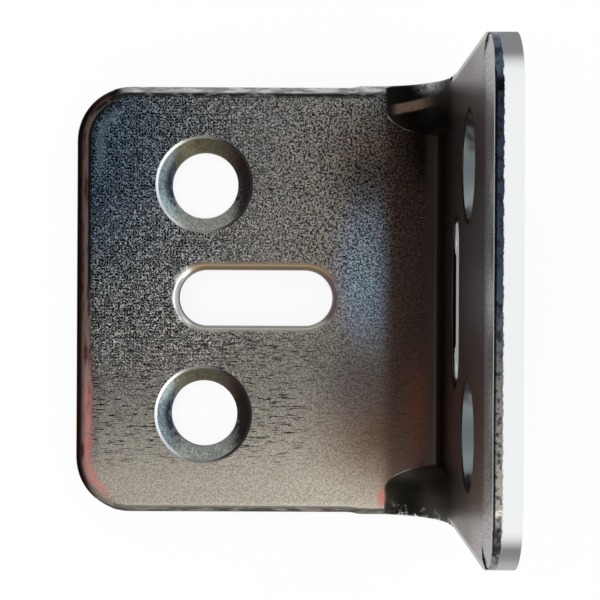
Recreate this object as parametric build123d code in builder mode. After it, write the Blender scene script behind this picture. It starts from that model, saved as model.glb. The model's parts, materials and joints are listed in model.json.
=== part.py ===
from build123d import *
import os
from math import cos, radians, sin

# A corner bracket, punched and folded from one piece of steel sheet.
# The base leaf lies on z = 0, the upright leaf stands at +X and the fold runs along Y.
# The origin is the middle of the footprint. All sizes are in millimetres.

# Sheet
width = 40.0
leg = 36.9
thickness = 2.45
fold_inner_radius = 0.8
corner_radius = 5.1

# Next to the fold each side spreads a little, where the sheet is squeezed
spread = 0.18
spread_reach = 7.4
spread_run = 1.6

# Shearing draws the sides of the inner face down into a narrow roll
roll_width = 0.7
roll_depth = 0.2
roll_face_radius = 1.0
roll_side_radius = 0.15

# The punch that cuts the free edge draws it down in a wide, shallow roll, nearly to the ends of its corners
end_roll_width = 2.4
end_roll_depth = 0.24
end_roll_middle = 0.3
end_roll_radius = 0.25
end_roll_slope = 10
end_roll_turn = 71

# Stiffening ribs pressed into both ends of the fold, sized from the inner corner
rib_foot = 5.4
rib_head = 6.3
rib_crest = (1.75, 2.1)
rib_flat = 2.3
rib_round = 2.4
rib_edge_radius = 0.25

# The dents that the same punch leaves outside, sized from the outer corner
dent_foot = 7.4
dent_head = 8.2
dent_crest = (2.1, 2.4)

# Two countersunk screw holes in each leaf, placed from its free edge
hole_diameter = 6.3
countersink_diameter = 8.9
countersink_angle = 90
countersink_rim_diameter = 9.2
countersink_rim_angle = 135
hole_pitch = 21.65
base_hole_from_edge = 12.0
upright_hole_from_edge = 13.9

# One adjustment slot in each leaf: lengthwise in the base, crosswise in the upright
slot_length = 14.6
slot_width = 5.3
slot_edge_radius = 0.5
base_slot_from_edge = 16.85
base_slot_offset = 0.15
upright_slot_from_edge = 23.5

# Derived places
free_edge_x = -leg / 2
outer_x = leg / 2
inner_x = outer_x - thickness
half_width = width / 2
fold_half_width = half_width + spread
fold_outer_radius = fold_inner_radius + thickness
fold_centre = (outer_x - fold_outer_radius, fold_outer_radius)
spread_x = inner_x - spread_reach
base_hole_x = free_edge_x + base_hole_from_edge
base_slot_x = free_edge_x + base_slot_from_edge
upright_hole_z = leg - upright_hole_from_edge
upright_slot_z = leg - upright_slot_from_edge

# Planes that the details are drawn on, each facing out of the metal
base_holes = Plane(origin=(base_hole_x, 0, thickness), x_dir=(1, 0, 0), z_dir=(0, 0, 1))
base_slot = Plane(origin=(base_slot_x, base_slot_offset, thickness), x_dir=(1, 0, 0), z_dir=(0, 0, 1))
upright_holes = Plane(origin=(inner_x, 0, upright_hole_z), x_dir=(0, 0, -1), z_dir=(-1, 0, 0))
upright_slot = Plane(origin=(inner_x, 0, upright_slot_z), x_dir=(0, 1, 0), z_dir=(-1, 0, 0))
inner_end = Plane(origin=(inner_x, fold_half_width, thickness), x_dir=(-1, 0, 0), z_dir=(0, 1, 0))
outer_end = Plane(origin=(outer_x, fold_half_width, 0), x_dir=(-1, 0, 0), z_dir=(0, 1, 0))

# The legs mirror each other in the plane that halves the right angle
mitre = Plane(origin=(outer_x, 0, 0), z_dir=(1, 0, 1))


def corner_profile(plane, foot, crest, head, size):
    """Area between a pressed arc and its corner, carried back past the corner."""
    back = thickness / 2
    with BuildSketch(plane) as profile:
        with BuildLine():
            arc = ThreePointArc((foot * size, 0), (crest[0] * size, crest[1] * size), (0, head * size))
            Polyline(arc @ 1, (-back, head * size), (-back, -back), (foot * size, -back), arc @ 0)
        make_face()
    return profile.sketch


def rounding_off(end_plane, foot, crest, head):
    """Sections of a pressed corner, from its full size down to where it runs out."""
    sections = []
    for turn in (0, 15, 30, 45, 58, 70, 80):
        depth = rib_flat + rib_round * sin(radians(turn))
        size = cos(radians(turn))
        sections.append(corner_profile(end_plane.offset(-depth), foot, crest, head, size))
    return sections


# One leaf, flat, with rounded free corners and the edges of its inner face rolled
with BuildPart() as leaf:
    with BuildSketch(Plane.XY):
        with BuildLine():
            ease_x = spread_x - spread_run / 2
            Line((free_edge_x, 0), (free_edge_x, half_width))
            side = Line((free_edge_x, half_width), (spread_x - spread_run, half_width))
            ease_end = (spread_x, fold_half_width)
            ease = Bezier(side @ 1, (ease_x, half_width), (ease_x, fold_half_width), ease_end)
            Polyline(ease @ 1, (fold_centre[0], fold_half_width), (fold_centre[0], 0))
            mirror(about=Plane.XZ)
        make_face()
        fillet(vertices().group_by(Axis.X)[0], radius=corner_radius)
    extrude(amount=thickness)
    top = leaf.faces().sort_by(Axis.Z)[-1]
    chamfer(top.edges().sort_by(Axis.X)[:-1], length=roll_width, length2=roll_depth, reference=top)
    top = leaf.faces().sort_by(Axis.Z)[-1]
    fillet(top.edges().sort_by(Axis.X)[:-1], radius=roll_face_radius)

    roll_z = thickness - roll_depth
    roll_foot = leaf.edges().filter_by_position(Axis.Z, roll_z - 0.01, roll_z + 0.01)
    fillet(roll_foot.sort_by(Axis.X)[:-1], radius=roll_side_radius)

    # The wide roll of the free edge, swept round it with the rounded rim below
    corner_x = free_edge_x + corner_radius
    corner_y = half_width - corner_radius
    with BuildLine(Plane.XY.offset(thickness)) as free_edge:
        right_turn = CenterArc((corner_x, -corner_y), corner_radius, 180 + end_roll_turn, -end_roll_turn)
        Line(right_turn @ 1, (free_edge_x, corner_y))
        CenterArc((corner_x, corner_y), corner_radius, 180, -end_roll_turn)
    outward = right_turn @ 0 - Vector(corner_x, -corner_y, thickness)
    with BuildSketch(Plane(origin=right_turn @ 0, x_dir=outward, z_dir=right_turn % 0)):
        with BuildLine():
            rim_centre = (-end_roll_radius, -end_roll_depth - end_roll_radius)
            rim = CenterArc(rim_centre, end_roll_radius, 0, 90 - end_roll_slope)
            middle = (-end_roll_width / 2, -end_roll_depth * end_roll_middle)
            drawn = ThreePointArc(rim @ 1, middle, (-end_roll_width, 0))
            Polyline(drawn @ 1, (-end_roll_width, 1), (1, 1), (1, rim_centre[1]), rim @ 0)
        make_face()
    sweep(path=free_edge.line, mode=Mode.SUBTRACT)

# The rib pressed into the +Y end of the fold
with BuildPart() as rib:
    extrude(corner_profile(inner_end, rib_foot, rib_crest, rib_head, 1), amount=-rib_flat)
    loft(rounding_off(inner_end, rib_foot, rib_crest, rib_head))

# The dent behind that rib, open at the end of the fold
with BuildPart() as dent:
    extrude(corner_profile(outer_end, dent_foot, dent_crest, dent_head, 1), amount=-rib_flat)
    extrude(dent.faces().sort_by(Axis.Y)[-1], amount=spread)
    loft(rounding_off(outer_end, dent_foot, dent_crest, dent_head))

# The bracket: two legs alike, joined by the fold
with BuildPart() as bracket:
    add(leaf.part)
    mirror(leaf.part, about=mitre)
    with BuildSketch(Plane.XZ):
        with BuildLine():
            outside = CenterArc(fold_centre, fold_outer_radius, -90, 90)
            inside = CenterArc(fold_centre, fold_inner_radius, -90, 90)
            Line(outside @ 0, inside @ 0)
            Line(outside @ 1, inside @ 1)
        make_face()
    extrude(amount=fold_half_width, both=True)

    # Pressed corners, with the edge of each rib rounded where it meets the side
    add(rib.part)
    mirror(rib.part, about=Plane.XZ)
    add(dent.part, mode=Mode.SUBTRACT)
    mirror(dent.part, about=Plane.XZ, mode=Mode.SUBTRACT)
    side_faces = bracket.faces().filter_by(Plane.XZ)
    for side_face in (side_faces.sort_by(Axis.Y)[0], side_faces.sort_by(Axis.Y)[-1]):
        crest = side_face.edges().filter_by(GeomType.CIRCLE).sort_by_distance((0, 0, leg))[0]
        fillet(crest, radius=rib_edge_radius)

    # Screw holes, with the rim of each countersink broken by a narrow bevel
    for hole_plane in (base_holes, upright_holes):
        with Locations(hole_plane):
            with Locations((0, hole_pitch / 2), (0, -hole_pitch / 2)):
                CounterSinkHole(hole_diameter / 2, countersink_diameter / 2, thickness, countersink_angle)
                rim_radius = countersink_rim_diameter / 2
                CounterSinkHole(hole_diameter / 2, rim_radius, thickness, countersink_rim_angle)

    # Slots, with their rims rounded on the inner face
    with BuildSketch(base_slot):
        SlotOverall(slot_length, slot_width)
    extrude(amount=-thickness, mode=Mode.SUBTRACT)
    fillet(edges(Select.LAST).group_by(Axis.Z)[-1], radius=slot_edge_radius)
    with BuildSketch(upright_slot):
        SlotOverall(slot_length, slot_width)
    extrude(amount=-thickness, mode=Mode.SUBTRACT)
    fillet(edges(Select.LAST).group_by(Axis.X)[0], radius=slot_edge_radius)

bracket.part.label = "corner_bracket"
os.makedirs("parts", exist_ok=True)
export_step(bracket.part, "parts/corner_bracket.step")
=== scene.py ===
"""Looks for a zinc-plated corner bracket: one steel sheet, punched, folded and ribbed.

Sides are named as the camera sees them from overhead: left is -X, right is +X, upper is +Y and lower is -Y.
"""
import json
from types import SimpleNamespace

import bpy
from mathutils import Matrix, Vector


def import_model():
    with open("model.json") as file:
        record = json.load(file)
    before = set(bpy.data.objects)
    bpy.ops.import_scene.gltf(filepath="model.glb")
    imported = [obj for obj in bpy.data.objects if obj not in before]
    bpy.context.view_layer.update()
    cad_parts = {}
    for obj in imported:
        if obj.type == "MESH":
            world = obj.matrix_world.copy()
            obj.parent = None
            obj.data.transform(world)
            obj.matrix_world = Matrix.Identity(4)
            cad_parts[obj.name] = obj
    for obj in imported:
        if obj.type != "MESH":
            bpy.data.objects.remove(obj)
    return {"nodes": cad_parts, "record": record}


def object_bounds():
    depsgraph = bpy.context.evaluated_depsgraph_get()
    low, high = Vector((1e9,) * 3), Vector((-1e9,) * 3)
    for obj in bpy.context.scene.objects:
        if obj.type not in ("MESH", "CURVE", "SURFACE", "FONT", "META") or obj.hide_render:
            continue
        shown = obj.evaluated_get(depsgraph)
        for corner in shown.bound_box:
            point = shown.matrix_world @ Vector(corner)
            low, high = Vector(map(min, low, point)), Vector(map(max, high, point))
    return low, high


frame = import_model()
cad_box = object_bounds()
bracket = frame["nodes"]["corner_bracket"]
mounts = {mount["name"]: mount for mount in frame["record"]["mounts"]}
scene = bpy.context.scene
MM = 0.001


def place_of(name):
    """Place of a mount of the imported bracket, in millimetres."""
    return [value / MM for value in mounts[name]["pos_m"]]


# The bracket's sizes and places in millimetres, which the finish is laid out by
SHEET = 2.45
WIDTH = 40.0
OUTER_X = cad_box[1][0] / MM
FOLD_R = 0.8
FOLD_X = OUTER_X - SHEET - FOLD_R
FOLD_Z = SHEET + FOLD_R
CORNER_R = 5.1
CORNER_X = CORNER_R - OUTER_X
CORNER_Y = WIDTH / 2 - CORNER_R
HOLES_X, HOLES_Y = place_of("base_hole_left")[:2]
HOLES_Z = place_of("upright_hole_left")[2]
CONE_R = 4.0
SLOT_X, SLOT_Y = place_of("base_slot")[:2]
SLOT_Z = place_of("upright_slot")[2]
SLOT_R = mounts["base_slot"]["dims"]["hole_r_mm"]
SLOT_HALF = mounts["base_slot"]["dims"]["slot_length_mm"] / 2 - SLOT_R
GRAIN_HEIGHT = 0.004

# The camera and the floor, in metres and radians, but for the film, which Blender measures in millimetres
CAMERA_PLACE = (2.12 * MM, 0.105 * MM, 143.4 * MM)
CAMERA_TURN = (-0.0009, -0.0034, 0.0048)
FILM_WIDTH = 36.0
FOCAL_PIXELS = 1497.8
PICTURE_PIXELS = 600
FLOOR_HALF = 2.0
FLOOR_DROP = 0.02 * MM

# Colours are linear red, green and blue. These are the tints of the zinc, most of them painted light and
# shade on the base and the upright
PLAIN_ZINC = (0.36, 0.355, 0.35)
LIT_GREY = (0.50, 0.485, 0.455)
GREY = (0.30, 0.29, 0.28)
DARK_GREY = (0.13, 0.115, 0.108)
TAUPE = (0.27, 0.23, 0.215)
MAUVE = (0.16, 0.145, 0.16)
SHADED_NAVY = (0.05, 0.088, 0.14)
REFLECTED_STEEL_BLUE = (0.19, 0.28, 0.36)
REFLECTED_SKY_BLUE = (0.37, 0.51, 0.77)
BROWN = (0.22, 0.145, 0.115)
FOLD_SHADOW_BROWN = (0.135, 0.098, 0.09)
SHADE_RED_BROWN = (0.27, 0.12, 0.09)
BLACK = (0.02, 0.018, 0.018)
WALL_FOOT = (0.035, 0.028, 0.027)
WALL_BROWN = (0.24, 0.19, 0.185)
WALL_RED_BROWN = (0.27, 0.17, 0.155)
WALL_GREY = (0.42, 0.39, 0.39)
WALL_PINK = (0.56, 0.48, 0.47)
WALL_ROLL_HIGHLIGHT = (0.52, 0.54, 0.56)

# Wear, painted light and shade, and other marks on the edges, the fold and the ribs
SLOPE_PALE = (0.6, 0.59, 0.57)
DULL_ROLL = (0.42, 0.42, 0.41)
ROLL_HIGHLIGHT = (0.95, 0.95, 0.92)
DARK_STREAK = (0.16, 0.08, 0.075)
PALE_STREAK = (0.60, 0.46, 0.43)
EDGE_DARK_RED = (0.10, 0.04, 0.035)
GROOVE_BLACK = (0.03, 0.03, 0.035)
TIP_BLACK = (0.015, 0.015, 0.015)
FOOT_GREY = (0.22, 0.22, 0.22)
RIB_DARK = (0.045, 0.04, 0.036)
RIB_OLIVE = (0.11, 0.10, 0.085)
CREASE_SHADE_BROWN = (0.15, 0.115, 0.107)
ROLL_SHADOW = (0.05, 0.055, 0.055)
PINK = (0.66, 0.2, 0.19)
RUB_BROWN = (0.18, 0.115, 0.08)
SHINE = (0.45, 0.49, 0.52)
SCRAPED = (0.78, 0.8, 0.8)

# Sheared sides
DRAWN_GREY = (0.3, 0.3, 0.3)
DRAWN_BLUE = (0.1, 0.14, 0.2)
DRAWN_DARK = (0.05, 0.06, 0.08)
HOLE_SHADE_BLACK = (0.02, 0.02, 0.022)
TORN_GREY = (0.22, 0.225, 0.23)
TORN_LIT = (0.83, 0.84, 0.85)
TORN_DULL = (0.46, 0.45, 0.44)

# Countersinks
CONE_GREY = (0.34, 0.36, 0.34)
CONE_OLIVE = (0.17, 0.15, 0.095)
CONE_PALE = (0.40, 0.42, 0.38)
CONE_LIT = (0.46, 0.55, 0.59)
CONE_BLUE = (0.04, 0.07, 0.11)
CONE_RED_BROWN = (0.10, 0.065, 0.05)
CONE_DARK = (0.025, 0.014, 0.012)
BEVEL_GREY = (0.30, 0.29, 0.27)
BEVEL_HIGHLIGHT = (0.95, 0.97, 0.98)
BEVEL_DARK = (0.06, 0.05, 0.05)
HOLLOW_BLACK = (0.014, 0.011, 0.011)
HOLLOW_LIT_BLUE = (0.29, 0.33, 0.34)
HOLLOW_GREY = (0.09, 0.09, 0.1)
RIM_DULL = (0.08, 0.07, 0.07)

# Slots
LIP_BROWN = (0.24, 0.18, 0.17)
LIP_OCHRE = (0.34, 0.25, 0.165)
LIP_CREAM = (0.50, 0.49, 0.43)
LIP_HIGHLIGHT = (0.95, 0.95, 0.93)
SLOT_DULL = (0.07, 0.06, 0.06)
SLOT_BLACK = (0.015, 0.013, 0.013)
LIT_SILL = (0.6, 0.61, 0.61)


class Graph:
    """Makes shader nodes from short calls; every value is a socket, a number or a tuple."""

    def __init__(self, tree):
        self.tree = tree
        tree.nodes.clear()

    def put(self, kind, **settings):
        node = self.tree.nodes.new("ShaderNode" + kind)
        for name, value in settings.items():
            setattr(node, name, value)
        return node

    def feed(self, socket, value):
        if isinstance(value, bpy.types.NodeSocket):
            self.tree.links.new(value, socket)
        else:
            socket.default_value = value

    def math(self, operation, a, b=0.0):
        node = self.put("Math", operation=operation)
        self.feed(node.inputs[0], a)
        self.feed(node.inputs[1], b)
        return node.outputs[0]

    def add(self, a, b):
        return self.math("ADD", a, b)

    def sub(self, a, b):
        return self.math("SUBTRACT", a, b)

    def mul(self, product, *factors):
        for factor in factors:
            product = self.math("MULTIPLY", product, factor)
        return product

    def most(self, a, b):
        return self.math("MAXIMUM", a, b)

    def least(self, a, b):
        return self.math("MINIMUM", a, b)

    def vmath(self, operation, a, b):
        node = self.put("VectorMath", operation=operation)
        self.feed(node.inputs[0], a)
        self.feed(node.inputs[1], b)
        return node.outputs["Vector"]

    def length(self, vector):
        node = self.put("VectorMath", operation="LENGTH")
        self.feed(node.inputs[0], vector)
        return node.outputs["Value"]

    def slant(self, a, b):
        """Straight distance to a point that lies a one way and b square to it."""
        return self.length(self.join(a, b, 0.0))

    def step(self, value, low, high, to_low=0.0, to_high=1.0):
        """Smoothly from to_low, where value is low, to to_high, where it is high."""
        node = self.put("MapRange", interpolation_type="SMOOTHSTEP")
        for socket, given in zip(node.inputs, (value, low, high, to_low, to_high)):
            self.feed(socket, given)
        return node.outputs[0]

    def band(self, value, start, full, fading, end):
        """1 where value lies from full to fading, falling smoothly to 0 at start and at end."""
        return self.mul(self.step(value, start, full), self.step(value, end, fading))

    def blend(self, share, a, b, kind="MIX"):
        node = self.put("Mix", data_type="RGBA", blend_type=kind, clamp_factor=True)
        self.feed(node.inputs[0], share)
        for socket, value in zip(node.inputs[6:8], (a, b)):
            if isinstance(value, tuple):
                value = (*value, 1.0)
            self.feed(socket, value)
        return node.outputs[2]

    def lerp(self, share, a, b):
        node = self.put("Mix", data_type="FLOAT", clamp_factor=True)
        for socket, value in zip(node.inputs[0:1] + node.inputs[2:4], (share, a, b)):
            self.feed(socket, value)
        return node.outputs[0]

    def shade(self, colour, level):
        """The colour made lighter or darker by a level about 1."""
        return self.blend(1.0, colour, self.join(level, level, level), "MULTIPLY")

    def split(self, vector):
        node = self.put("SeparateXYZ")
        self.feed(node.inputs[0], vector)
        return node.outputs[0], node.outputs[1], node.outputs[2]

    def join(self, x, y, z):
        node = self.put("CombineXYZ")
        for socket, value in zip(node.inputs, (x, y, z)):
            self.feed(socket, value)
        return node.outputs[0]

    def noise(self, place, size, detail, rough, stretch=(1, 1, 1)):
        """Noise about 0.5 with features of the given size, drawn out by stretch."""
        node = self.put("TexNoise")
        self.feed(node.inputs["Vector"], self.vmath("DIVIDE", place, stretch))
        self.feed(node.inputs["Scale"], 1.0 / size)
        self.feed(node.inputs["Detail"], detail)
        self.feed(node.inputs["Roughness"], rough)
        return node.outputs[0]

    def spot(self, place, centre, radii):
        """1 at centre, falling smoothly to 0 at the ellipsoid of these radii."""
        away = self.vmath("DIVIDE", self.vmath("SUBTRACT", place, centre), radii)
        return self.step(self.length(away), 1.0, 0.0)


def lay_out(g):
    """Works out where a point lies on the bracket: places in millimetres and masks from 0 to 1."""
    at = SimpleNamespace()
    coords = g.put("TexCoord")
    at.place = g.vmath("MULTIPLY", coords.outputs["Object"], (1 / MM, 1 / MM, 1 / MM))
    at.x, at.y, at.z = g.split(at.place)
    at.aside = g.math("ABSOLUTE", at.y)
    at.low = g.step(at.z, SHEET + 0.55, SHEET + 0.15)
    lay_out_surfaces(g, at, coords.outputs["Normal"])
    lay_out_outlines(g, at)
    return at


def lay_out_surfaces(g, at, normal):
    """Depth into the sheet from its inner face, also round the fold, and which surface a point is on."""
    nx, _, at.nz = g.split(normal)
    vx = g.most(g.sub(at.x, FOLD_X), 0.0)
    vz = g.most(g.sub(FOLD_Z, at.z), 0.0)
    from_axis = g.slant(vx, vz)
    at.depth = g.sub(from_axis, FOLD_R)
    across = g.math("DIVIDE", g.sub(g.mul(nx, vx), g.mul(at.nz, vz)), g.most(from_axis, 0.01))
    at.facing = g.math("ABSOLUTE", across)
    at.flat = g.step(at.facing, 0.965, 0.995)
    at.cone = g.band(at.facing, 0.55, 0.62, 0.8, 0.86)
    at.cut = g.mul(g.step(at.facing, 0.6, 0.3), g.step(at.depth, 0.02, 0.06))
    at.inner = g.step(across, 0.2, -0.2)
    at.base = g.mul(g.step(across, -0.9, -0.97), g.step(at.nz, 0.8, 0.95))
    at.upright = g.mul(at.inner, g.step(at.z, 4.0, 5.0))
    at.pressed = g.step(at.depth, -0.01, -0.04)
    on_rib = g.mul(g.step(at.x, 10.0, 10.6), g.step(at.z, 2.5, 2.8), g.step(at.aside, 16.0, 16.5))
    at.on_rib = g.mul(on_rib, g.step(at.depth, 0.1, 0.0))


def lay_out_outlines(g, at):
    """How far a point lies in from the base's outline, out from a slot and out from the middle of a hole."""
    round_x = g.most(g.sub(CORNER_X, at.x), 0.0)
    round_y = g.most(g.sub(at.aside, CORNER_Y), 0.0)
    at.from_edge = g.sub(CORNER_R, g.slant(round_x, round_y))
    past_end = g.most(g.sub(g.math("ABSOLUTE", g.sub(at.x, SLOT_X)), SLOT_HALF), 0.0)
    at.from_slot = g.sub(g.slant(past_end, g.sub(at.y, SLOT_Y)), SLOT_R)
    past_end = g.most(g.sub(at.aside, SLOT_HALF), 0.0)
    at.from_upright_slot = g.sub(g.slant(past_end, g.sub(at.z, SLOT_Z)), SLOT_R)
    beside = g.sub(at.aside, HOLES_Y)
    at.from_hole = g.slant(g.sub(at.x, HOLES_X), beside)
    at.from_upright_hole = g.slant(g.sub(at.z, HOLES_Z), beside)


def base_painted_shading(g, at):
    """Painted light and shade on the base: painted shade of navy at the upper left, painted light on the grey
    towards the lower side, a painted sky-blue reflection, and painted shadow from brown to black by the fold.
    """
    ground = g.join(at.x, at.y, 0.0)

    def painted_shading(under, colour, centre, radii, share=1.0):
        spot = g.spot(ground, (*centre, 0.0), (*radii, 1.0))
        return g.blend(g.mul(spot, share), under, colour)

    # Painted light: the grey grows lighter towards the lower side.
    tint = g.blend(g.step(at.y, -7.0, -18.0), GREY, LIT_GREY)
    # Painted shade and reflections: navy at the upper left, then taupe, brown, dark grey, sky-blue and mauve
    # patches.
    tint = painted_shading(tint, SHADED_NAVY, (-20.0, 14.0), (26.0, 32.0))
    tint = painted_shading(tint, TAUPE, (9.0, 13.5), (7.0, 5.0))
    tint = painted_shading(tint, BROWN, (11.0, -12.5), (9.5, 8.0))
    tint = painted_shading(tint, DARK_GREY, (9.0, 11.0), (4.5, 5.0))
    tint = painted_shading(tint, REFLECTED_SKY_BLUE, (8.9, 2.4), (4.2, 10.5))
    tint = painted_shading(tint, MAUVE, (7.8, -7.6), (5.5, 6.5), 0.75)
    # Painted shadow of the upright on the base by the fold: brown, with a red-brown patch.
    tint = g.blend(g.step(at.x, 9.8, 11.6), tint, FOLD_SHADOW_BROWN)
    tint = painted_shading(tint, SHADE_RED_BROWN, (13.9, -9.8), (2.6, 7.5), 0.8)
    # Painted shade: black by the fold next to both ribs.
    tint = painted_shading(tint, BLACK, (15.8, 16.5), (5.4, 7.0))
    tint = painted_shading(tint, BLACK, (14.8, 14.2), (3.6, 6.0))
    return painted_shading(tint, BLACK, (15.6, -16.5), (3.2, 3.0))


def upright_painted_shading(g, at):
    """Painted light and shade on the upright: nearly black painted shade at its foot, brown above, pale
    painted light at its far corners, a red-brown band, and a pale painted highlight on its top edge.
    """
    # Painted shade: nearly black at the foot of the upright by the fold, brown above.
    tint = g.blend(g.step(at.z, 4.0, 15.0), WALL_FOOT, WALL_BROWN)
    # Painted light: paler at the far corners.
    far_corners = g.mul(g.step(at.aside, 15.0, 18.5), g.step(at.z, 22.0, 33.0))
    tint = g.blend(far_corners, tint, WALL_GREY)
    lower_corner = g.mul(g.step(at.y, -12.0, -18.0), g.step(at.z, 24.0, 33.0))
    tint = g.blend(lower_corner, tint, WALL_PINK)
    red_brown_part = g.mul(g.band(at.z, 26.0, 29.0, 31.5, 33.4), g.step(at.y, 3.0, -6.0), g.step(at.y, -18.0, -14.0))
    tint = g.blend(red_brown_part, tint, WALL_RED_BROWN)
    # Painted highlight on the roll of the upright's top edge.
    return g.blend(g.step(at.z, 33.4, 34.2), tint, WALL_ROLL_HIGHLIGHT)


def plating_and_painted_light(g, at):
    """Broad tints of the zinc, plain on the outside, with painted light and shade on the base and the
    upright, and a painted blue reflection in a crescent inside the upper left corner.
    """
    tint = g.blend(at.base, PLAIN_ZINC, base_painted_shading(g, at))
    near_corner = g.mul(g.step(at.y, 10.5, 13.5), g.step(at.x, -13.8, -14.8))
    at.crescent = g.mul(g.band(at.from_edge, 1.5, 2.1, 2.3, 3.0), near_corner, at.base)
    # Painted reflection: blue in a crescent inside the upper left corner.
    tint = g.blend(at.crescent, tint, REFLECTED_STEEL_BLUE)
    return g.blend(at.upright, tint, upright_painted_shading(g, at))


def grain_strength(g, at, upper_left):
    """How strongly the grain shows: more towards the upper side, less by the fold, where it follows the
    painted shadow, and less off the base.
    """
    strength = g.mul(g.step(at.y, -15.0, 18.0, 0.22, 1.3), g.step(at.x, 9.0, 13.0, 1.0, 0.5))
    strength = g.lerp(at.base, 0.4, g.lerp(upper_left, strength, 0.9))
    return g.mul(strength, g.lerp(at.crescent, 1.0, 0.3))


def rolling_dashes(g, at):
    """Dark dashes on the lower half of the base, along the way the sheet was rolled."""
    dash = g.step(g.noise(at.place, 0.1, 1.0, 0.5, (9.0, 1.0, 1.0)), 0.44, 0.34)
    return g.mul(dash, g.band(at.y, -17.5, -13.0, -4.0, 6.0), at.base, g.step(at.x, 1.0, 7.0, 0.9, 0.2))


def grained(g, at, colour):
    """Dark pits and bright grains, the bright ones partly painted glints, with veins of them at the upper
    left, and the dashes.
    """
    fine = g.noise(at.place, 0.13, 1.0, 0.6)
    coarse = g.noise(at.place, 0.22, 2.0, 0.7)
    speck = g.add(g.sub(fine, 0.5), g.mul(g.sub(coarse, 0.5), 1.1))
    upper_left = g.mul(g.step(at.x, 5.0, -11.0), g.step(at.y, -14.0, 0.0))
    vein = g.math("ABSOLUTE", g.sub(g.noise(at.place, 0.27, 1.0, 0.5), 0.5))
    vein = g.step(vein, 0.055, 0.005, -1.15, 4.8)
    vein = g.mul(vein, g.step(fine, 0.35, 0.6, 0.6, 1.25))
    grain = g.lerp(upper_left, g.step(speck, -0.13, 0.14, -1.0, 1.15), g.add(vein, g.mul(speck, 2.5)))
    level = g.most(g.add(1.0, g.mul(grain, grain_strength(g, at, upper_left))), 0.16)
    level = g.mul(level, g.sub(1.0, rolling_dashes(g, at)))
    at.relief = g.mul(speck, at.flat)
    return g.shade(colour, g.lerp(at.flat, 1.0, level))


def slopes(g, at, colour):
    """All slopes paler, and the roll on the upper side of the base brightest, a painted highlight in patches.
    """
    colour = g.blend(g.sub(1.0, at.flat), colour, SLOPE_PALE)
    patches = g.step(g.noise(at.place, 0.35, 2.0, 0.6, (4.0, 1.0, 1.0)), 0.35, 0.65)
    # Painted highlight on the roll of the upper side, in patches.
    upper_roll = g.mul(g.step(at.y, 19.0, 19.4), at.low)
    return g.blend(upper_roll, colour, g.blend(patches, DULL_ROLL, ROLL_HIGHLIGHT))


def free_edge(g, at, colour):
    """The wide roll of the free edge: brown streaks and dark red at its brink, a painted reflection of dark
    brown surroundings on the left, and a black groove and tip above.
    """
    start = g.step(at.y, -8.0, 8.0, -16.4, -14.0)
    on_roll = g.mul(g.step(at.x, start, g.sub(start, 1.2)), at.inner, g.step(at.from_edge, 1.5, 1.2))
    streak = g.noise(at.place, 0.5, 2.0, 0.6, (1.0, 6.0, 1.0))
    # Painted reflection: streaky brown and dark red on the roll, which faces left.
    roll = g.blend(g.step(streak, 0.32, 0.55), DARK_STREAK, PALE_STREAK)
    roll = g.blend(g.step(at.from_edge, 0.7, 0.35), roll, EDGE_DARK_RED)
    groove = g.mul(g.step(at.from_edge, 0.95, 1.15), g.step(g.add(at.y, g.mul(streak, 12.0)), 2.0, 8.0))
    roll = g.blend(groove, roll, GROOVE_BLACK)
    colour = g.blend(on_roll, colour, roll)
    return g.blend(g.spot(at.place, (-14.8, 19.5, 2.2), (1.3, 1.1, 2.0)), colour, TIP_BLACK)


def lower_foot(g, at, colour):
    """Grey patches along the foot of the roll on the lower side of the base."""
    foot = g.mul(g.step(at.y, -19.4, -19.75), g.step(at.z, 2.6, 2.3), at.inner)
    patches = g.step(g.noise(at.place, 0.4, 2.0, 0.6, (5.0, 1.0, 1.0)), 0.35, 0.55)
    return g.blend(g.mul(foot, patches), colour, FOOT_GREY)


def fold_painted_shade(g, at, colour):
    """Painted shade that darkens the ribs and the crease of the fold."""
    # Painted shade on the ribs: black on the upper one, olive on the lower.
    ribs = g.blend(g.step(at.y, 5.0, -5.0), RIB_DARK, RIB_OLIVE)
    colour = g.blend(at.pressed, colour, ribs)
    # Painted shade in the crease of the fold.
    crease = g.mul(g.step(at.x, 14.0, 15.0), g.step(at.z, 6.0, 3.6), at.inner)
    return g.blend(crease, colour, CREASE_SHADE_BROWN)


def upper_shadow(g, at, colour):
    """A broken dark line inside the roll on the upper side of the base."""
    line = g.mul(g.band(at.from_edge, 0.45, 0.7, 0.8, 1.15), g.step(at.y, 17.0, 18.0), at.low, at.inner)
    broken = g.step(g.noise(at.place, 0.5, 2.0, 0.6, (2.5, 1.0, 1.0)), 0.3, 0.5)
    return g.blend(g.mul(line, broken), colour, ROLL_SHADOW)


def pink_marks(g, at, colour):
    """A pink band along the lower part of the free edge, and a spot of it at the foot of the lower rib."""
    line = g.mul(g.band(at.from_edge, 0.6, 1.0, 1.1, 1.9), g.step(at.y, -3.0, -11.0))
    worn = g.step(g.noise(at.place, 0.25, 3.0, 0.7, (2.0, 1.0, 1.0)), 0.3, 0.6, 0.2, 1.0)
    line = g.mul(line, g.step(at.x, -14.6, -16.2), at.inner, worn, at.low)
    at.pink = g.mul(g.most(line, g.spot(at.place, (10.35, -18.5, 2.4), (0.7, 1.4, 1.0))), 0.93)
    return g.blend(at.pink, colour, PINK)


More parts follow.
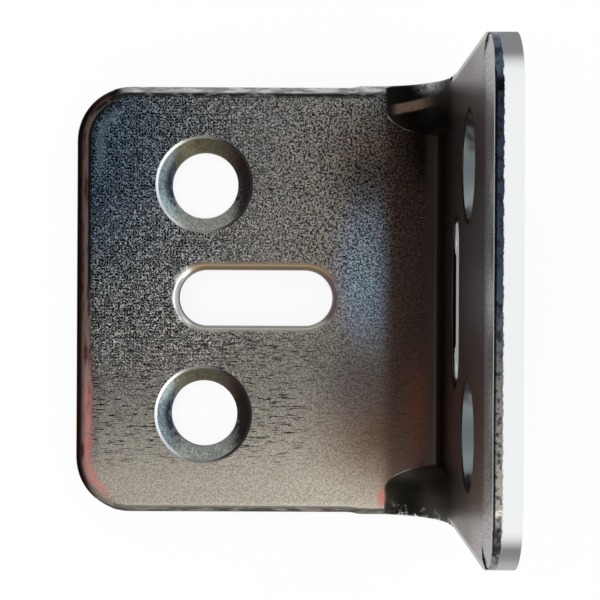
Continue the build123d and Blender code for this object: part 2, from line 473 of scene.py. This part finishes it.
def sheared(g, at, colour):
    """The cut sides: smooth where the punch drew them, with painted shade inside the openings of the base,
    and pale and torn below, where painted light makes the faces that face up near white.
    """
    wave = g.noise(at.place, 0.55, 2.0, 0.6)
    at.torn = g.mul(at.cut, g.step(g.add(at.depth, g.mul(g.sub(wave, 0.5), 0.35)), 0.93, 1.03))
    at.smooth = g.sub(at.cut, at.torn)
    drawn = g.blend(g.step(at.y, -9.0, 3.0), DRAWN_GREY, DRAWN_BLUE)
    drawn = g.blend(g.step(wave, 0.45, 0.65), drawn, DRAWN_DARK)
    # Painted shade: black on the smooth walls inside the holes and the slot of the base.
    in_opening = g.most(g.step(at.from_slot, 0.5, 0.3), g.step(at.from_hole, 3.6, 3.4))
    drawn = g.blend(g.mul(in_opening, at.low), drawn, HOLE_SHADE_BLACK)
    colour = g.blend(at.smooth, colour, drawn)
    # Painted light: torn faces that face up are near white, those that face aside grey.
    torn = g.blend(g.step(at.nz, 0.8, 0.96), TORN_GREY, TORN_LIT)
    torn = g.blend(g.step(at.y, -18.2, -19.6), torn, TORN_DULL)
    return g.blend(at.torn, colour, torn)


def base_cones(g, at, colour):
    """Countersinks of the base: painted light at the left, a painted red-brown reflection and painted shade
    at the right, and chattered by the tool.
    """
    at.base_cone = g.mul(at.cone, at.low, g.step(at.from_hole, 4.7, 4.5))
    at.right = g.math("DIVIDE", g.sub(at.x, HOLES_X), CONE_R)
    at.up = g.math("DIVIDE", g.sub(at.y, g.mul(g.math("SIGN", at.y), HOLES_Y)), CONE_R)
    chatter = g.noise(at.place, 0.35, 2.0, 0.65, (0.6, 1.4, 1.0))
    ragged = g.mul(g.sub(chatter, 0.5), 1.6)
    # Painted reflections: olive on the upper part of the cone, pale on the lower.
    painted_shading = g.blend(g.step(g.add(at.up, ragged), 0.1, 0.8), CONE_GREY, CONE_OLIVE)
    painted_shading = g.blend(g.step(at.up, -0.4, -0.95), painted_shading, CONE_PALE)
    ragged_right = g.add(at.right, g.mul(ragged, 0.5))
    # Painted light at the left, blue grey deeper in.
    lit = g.blend(g.step(at.from_hole, 4.0, 3.4), CONE_LIT, CONE_BLUE)
    painted_shading = g.blend(g.step(ragged_right, -0.55, -0.85), painted_shading, lit)
    # Painted reflection, red-brown, and painted shade at the right.
    red_brown_part = g.mul(g.step(ragged_right, 0.15, 0.7), g.step(at.up, -0.1, 0.3))
    painted_shading = g.blend(red_brown_part, painted_shading, CONE_RED_BROWN)
    painted_shading = g.blend(g.step(g.add(at.right, g.mul(ragged, 0.4)), 0.55, 0.9), painted_shading, CONE_DARK)
    grain = g.noise(at.place, 0.1, 2.0, 0.7)
    marked = g.mul(g.step(chatter, 0.3, 0.7, 0.7, 1.3), g.step(grain, 0.3, 0.7, 0.45, 1.6))
    return g.blend(at.base_cone, colour, g.shade(painted_shading, marked))


def base_bevels(g, at, colour):
    """Narrow bevels round the countersinks of the base, with a painted highlight at the left and painted
    shade at the right.
    """
    round_hole = g.mul(g.band(at.from_hole, 4.1, 4.2, 4.7, 4.8), at.inner, at.low)
    at.bevel = g.mul(g.band(at.facing, 0.84, 0.88, 0.95, 0.97), round_hole)
    # Painted highlight at the left, painted shade at the right.
    bevel = g.blend(g.step(at.right, -0.3, -0.8), BEVEL_GREY, BEVEL_HIGHLIGHT)
    bevel = g.blend(g.step(at.right, 0.0, 0.6), bevel, BEVEL_DARK)
    return g.blend(at.bevel, colour, bevel)


def upright_cones(g, at, colour):
    """Countersinks of the upright: dull rims, and hollows in black painted shade, with painted light blue
    grey in the middle and grey on top.
    """
    rim = g.mul(at.upright, g.step(at.from_upright_hole, 4.9, 4.7))
    colour = g.blend(rim, colour, RIM_DULL)
    upright_cone = g.mul(at.cone, g.step(at.z, 10.0, 12.0), g.step(at.from_upright_hole, 4.7, 4.5))
    at.cones = g.add(g.add(at.base_cone, upright_cone), at.bevel)
    uneven_up = g.add(at.up, g.sub(g.noise(at.place, 1.6, 1.0, 0.5), 0.5))
    # Painted shade, black, in the hollows, and painted light, blue grey, where the far wall is lit.
    hollow = g.blend(g.step(uneven_up, 0.95, 0.35), HOLLOW_BLACK, HOLLOW_LIT_BLUE)
    hollow = g.blend(g.step(uneven_up, -0.6, -1.1), hollow, HOLLOW_BLACK)
    hollow = g.blend(g.step(g.sub(at.z, HOLES_Z), 1.2, 3.2), hollow, HOLLOW_GREY)
    return g.blend(upright_cone, colour, hollow)


def slot_noise(g, at):
    """Noise that makes the marks of both slots uneven."""
    return g.mul(g.noise(at.place, 0.4, 1.0, 0.5), 0.5)


def base_lips(g, at, colour):
    """Lips of the base slot: a white painted highlight at the left end, ochre above, a brown painted
    reflection at the right end and cream below.
    """
    lip_width = g.step(at.y, 1.2, 2.2, 0.95, 1.2)
    lip = g.step(g.add(at.from_slot, slot_noise(g, at)), lip_width, g.mul(lip_width, 0.6))
    at.lips = g.mul(lip, g.step(at.z, 1.6, 1.9), at.inner)
    # Painted light on the lips: a brown reflection at the right end and a white highlight at the left end.
    paint = g.blend(g.step(at.y, 1.8, 2.7), LIP_BROWN, LIP_OCHRE)
    paint = g.blend(g.step(at.y, -1.5, -2.4), paint, LIP_CREAM)
    paint = g.blend(g.step(at.x, -7.4, -8.2), paint, LIP_HIGHLIGHT)
    return g.blend(at.lips, colour, paint)


def upright_slot(g, at, colour):
    """Slot of the upright: a dull rim, and a bright sill of painted light nearest the base with a black patch
    of painted shade at its mouth.
    """
    rim = g.mul(at.upright, g.step(at.from_upright_slot, 0.56, 0.5))
    colour = g.blend(rim, colour, SLOT_DULL)
    # Painted shade: black on the slot's smooth wall.
    wall = g.mul(at.smooth, g.mul(g.step(at.from_upright_slot, 0.4, 0.3), g.step(at.z, 12.4, 11.4)))
    colour = g.blend(wall, colour, SLOT_BLACK)
    # Painted light: a bright sill nearest the base, widest in the middle.
    sill_start = g.step(g.add(at.aside, g.mul(slot_noise(g, at), 2.0)), 4.2, 6.2, 0.36, 0.0)
    at.sill = g.mul(wall, g.step(at.depth, sill_start, g.add(sill_start, 0.08)))
    return g.blend(at.sill, colour, LIT_SILL)


def rib_rub(g, at, colour):
    """A brown rub across the upper rib."""
    off_line = g.math("ABSOLUTE", g.sub(at.y, g.add(g.mul(at.x, 0.15), 16.2)))
    rub = g.mul(g.step(off_line, 0.6, 0.35), at.on_rib, g.step(at.x, 15.2, 13.4))
    at.rub = g.mul(rub, g.step(g.noise(at.place, 0.25, 2.0, 0.6, (6.0, 1.0, 1.0)), 0.1, 0.55, 0.5, 1.0))
    return g.blend(at.rub, colour, RUB_BROWN)


def rib_scrapes(g, at, colour):
    """A painted sheen at the outer edge of the upper rib, and bright scrapes along that of the lower one."""
    # Painted sheen at the outer edge of the upper rib.
    shine = g.mul(g.spot(at.place, (14.6, 19.9, 5.0), (2.2, 1.2, 4.0)), at.on_rib)
    shine = g.mul(shine, g.step(g.noise(at.place, 0.5, 3.0, 0.7), 0.25, 0.6))
    colour = g.blend(shine, colour, SHINE)
    flecks = g.step(g.noise(at.place, 0.8, 5.0, 0.8, (1.0, 1.0, 2.0)), 0.48, 0.58)
    ragged = g.mul(g.sub(g.noise(at.place, 1.2, 1.0, 0.5), 0.5), 3.0)
    edge = g.step(g.add(ragged, g.sub(0.0, at.y)), 19.3, 19.9)
    edge = g.most(edge, g.spot(at.place, (11.1, -19.6, 2.6), (1.0, 1.6, 2.0)))
    scraped = g.mul(flecks, edge)
    at.scrape = g.most(g.mul(scraped, g.mul(at.on_rib, g.step(at.z, 9.0, 7.0))), shine)
    return g.blend(g.mul(scraped, at.scrape), colour, SCRAPED)


def roughness(g, at):
    """Rough where the metal is torn, and smoothest on its slopes and where the punch drew it."""
    rough = g.lerp(at.flat, 0.2, g.lerp(at.upright, 0.4, 0.3))
    rough = g.lerp(at.pressed, rough, 0.45)
    rough = g.lerp(at.smooth, rough, 0.2)
    rough = g.lerp(at.torn, rough, 0.85)
    return g.lerp(at.cones, rough, 0.35)


def metalness(g, at):
    """Bare metal, and less so on torn sides, countersinks, the lips of the base slot, and the marks: pink,
    rub, scrapes with the painted sheen, and the painted lit sill.
    """
    metal = g.lerp(at.torn, 1.0, 0.2)
    metal = g.lerp(at.cones, metal, 0.6)
    metal = g.lerp(at.lips, metal, 0.55)
    for mark in (at.pink, at.rub, at.scrape, at.sill):
        metal = g.lerp(mark, metal, 0.4)
    return metal


def zinc():
    """The bracket's one finish: zinc-plated steel with its tints, grain, cut sides, wear and dirt, and
    painted light and shade.
    """
    material = bpy.data.materials.new("zinc_plated_steel")
    material.use_nodes = True
    g = Graph(material.node_tree)
    at = lay_out(g)
    colour = plating_and_painted_light(g, at)
    edges = (slopes, free_edge, lower_foot, fold_painted_shade, upper_shadow, pink_marks, sheared)
    openings = (base_cones, base_bevels, upright_cones, base_lips, upright_slot)
    for layer in (grained, *edges, *openings, rib_rub, rib_scrapes):
        colour = layer(g, at, colour)

    shader = g.put("BsdfPrincipled")
    g.feed(shader.inputs["Base Color"], colour)
    g.feed(shader.inputs["Metallic"], metalness(g, at))
    g.feed(shader.inputs["Roughness"], roughness(g, at))
    bump = g.put("Bump")
    g.feed(bump.inputs["Strength"], 1.0)
    g.feed(bump.inputs["Distance"], GRAIN_HEIGHT * MM)
    g.feed(bump.inputs["Height"], at.relief)
    g.feed(shader.inputs["Normal"], bump.outputs[0])
    out = g.put("OutputMaterial")
    g.feed(out.inputs[0], shader.outputs[0])
    return material


def room(g, way):
    """What the metal mirrors: a dark room with soft cards of light."""
    wx, wy, wz = g.split(way)
    turn = g.math("DEGREES", g.math("ARCTAN2", wy, wx))
    lean = g.math("DEGREES", g.math("ARCCOSINE", wz))

    def card(light, bearing, spread, high, low, colour, soft):
        """Bearing from +X, half spread, lean of top and bottom from overhead and softness, all in degrees."""
        off = g.math("ABSOLUTE", g.sub(turn, bearing))
        off = g.least(off, g.sub(360.0, off))
        inside = g.step(off, spread + soft, spread - soft)
        inside = g.mul(inside, g.step(lean, high - soft / 2, high + soft / 2))
        inside = g.mul(inside, g.step(lean, low + soft, low - soft))
        return g.blend(inside, light, colour)

    light = (0.012, 0.012, 0.014)
    # Upper side and lower side
    light = card(light, 90, 40, 36, 82, (0.6, 0.62, 0.62), 8)
    light = card(light, -90, 26, 26, 70, (0.3, 0.28, 0.25), 8)
    light = card(light, -112, 46, 12, 26, (1.6, 1.4, 1.2), 6)
    # Right side, from upper to lower: two of its tall cards have a brighter strip over them
    light = card(light, 45, 24, 66, 92, (1.1, 1.3, 1.35), 8)
    light = card(light, 0, 24, 22, 92, (1.5, 2.0, 2.4), 8)
    light = card(light, 0, 24, 13, 25, (2.6, 2.9, 3.1), 6)
    light = card(light, -47, 26, 24, 92, (1.7, 1.7, 1.6), 8)
    return card(light, -47, 26, 13, 27, (4.4, 4.0, 3.3), 6)


def world():
    """Plain light from all round for matt surfaces; the metal mirrors the room and the camera sees white."""
    made = bpy.data.worlds.new("studio")
    made.use_nodes = True
    g = Graph(made.node_tree)
    way = g.put("TexCoord").outputs["Generated"]
    overhead = g.step(g.split(way)[2], -0.2, 1.0)
    plain = g.blend(overhead, (0.65, 0.65, 0.65), (1.25, 1.25, 1.25))
    path = g.put("LightPath")
    seen = g.blend(path.outputs["Is Glossy Ray"], plain, room(g, way))
    seen = g.blend(path.outputs["Is Camera Ray"], seen, (1.0, 1.0, 1.0))
    back = g.put("Background")
    g.feed(back.inputs[0], seen)
    out = g.put("OutputWorld")
    g.feed(out.inputs[0], back.outputs[0])
    # The paths tell glossy rays apart only when the surfaces look for the light themselves
    made.cycles.sampling_method = "NONE"
    scene.world = made


def pale_floor():
    """Matt white, nearly evenly bright to the camera, with a faint shadow, and greyer to the metal."""
    material = bpy.data.materials.new("floor")
    material.use_nodes = True
    g = Graph(material.node_tree)
    path = g.put("LightPath")
    matt = g.put("BsdfDiffuse")
    g.feed(matt.inputs[0], g.blend(path.outputs["Is Glossy Ray"], (0.95, 0.95, 0.95), (0.62, 0.62, 0.62)))
    white = g.put("Emission")
    g.feed(white.inputs[1], 1.0)
    mix = g.put("MixShader")
    g.feed(mix.inputs[0], g.mul(path.outputs["Is Camera Ray"], 0.88))
    g.feed(mix.inputs[1], matt.outputs[0])
    g.feed(mix.inputs[2], white.outputs[0])
    out = g.put("OutputMaterial")
    g.feed(out.inputs[0], mix.outputs[0])
    return material


def floor():
    mesh = bpy.data.meshes.new("floor")
    corners = [(x * FLOOR_HALF, y * FLOOR_HALF, 0) for x, y in ((-1, -1), (1, -1), (1, 1), (-1, 1))]
    mesh.from_pydata(corners, [], [(0, 1, 2, 3)])
    mesh.materials.append(pale_floor())
    made = bpy.data.objects.new("floor", mesh)
    made.location.z = -FLOOR_DROP
    scene.collection.objects.link(made)


def camera():
    lens = bpy.data.cameras.new("camera")
    lens.sensor_width = FILM_WIDTH
    lens.sensor_fit = "HORIZONTAL"
    lens.lens = FILM_WIDTH * FOCAL_PIXELS / PICTURE_PIXELS
    lens.clip_start = 0.005
    lens.clip_end = 10.0
    made = bpy.data.objects.new("camera", lens)
    made.location = CAMERA_PLACE
    made.rotation_euler = CAMERA_TURN
    scene.collection.objects.link(made)
    scene.camera = made


finish = zinc()
for slot in bracket.material_slots:
    slot.material = finish
world()
floor()
camera()
scene.view_settings.view_transform = "Standard"
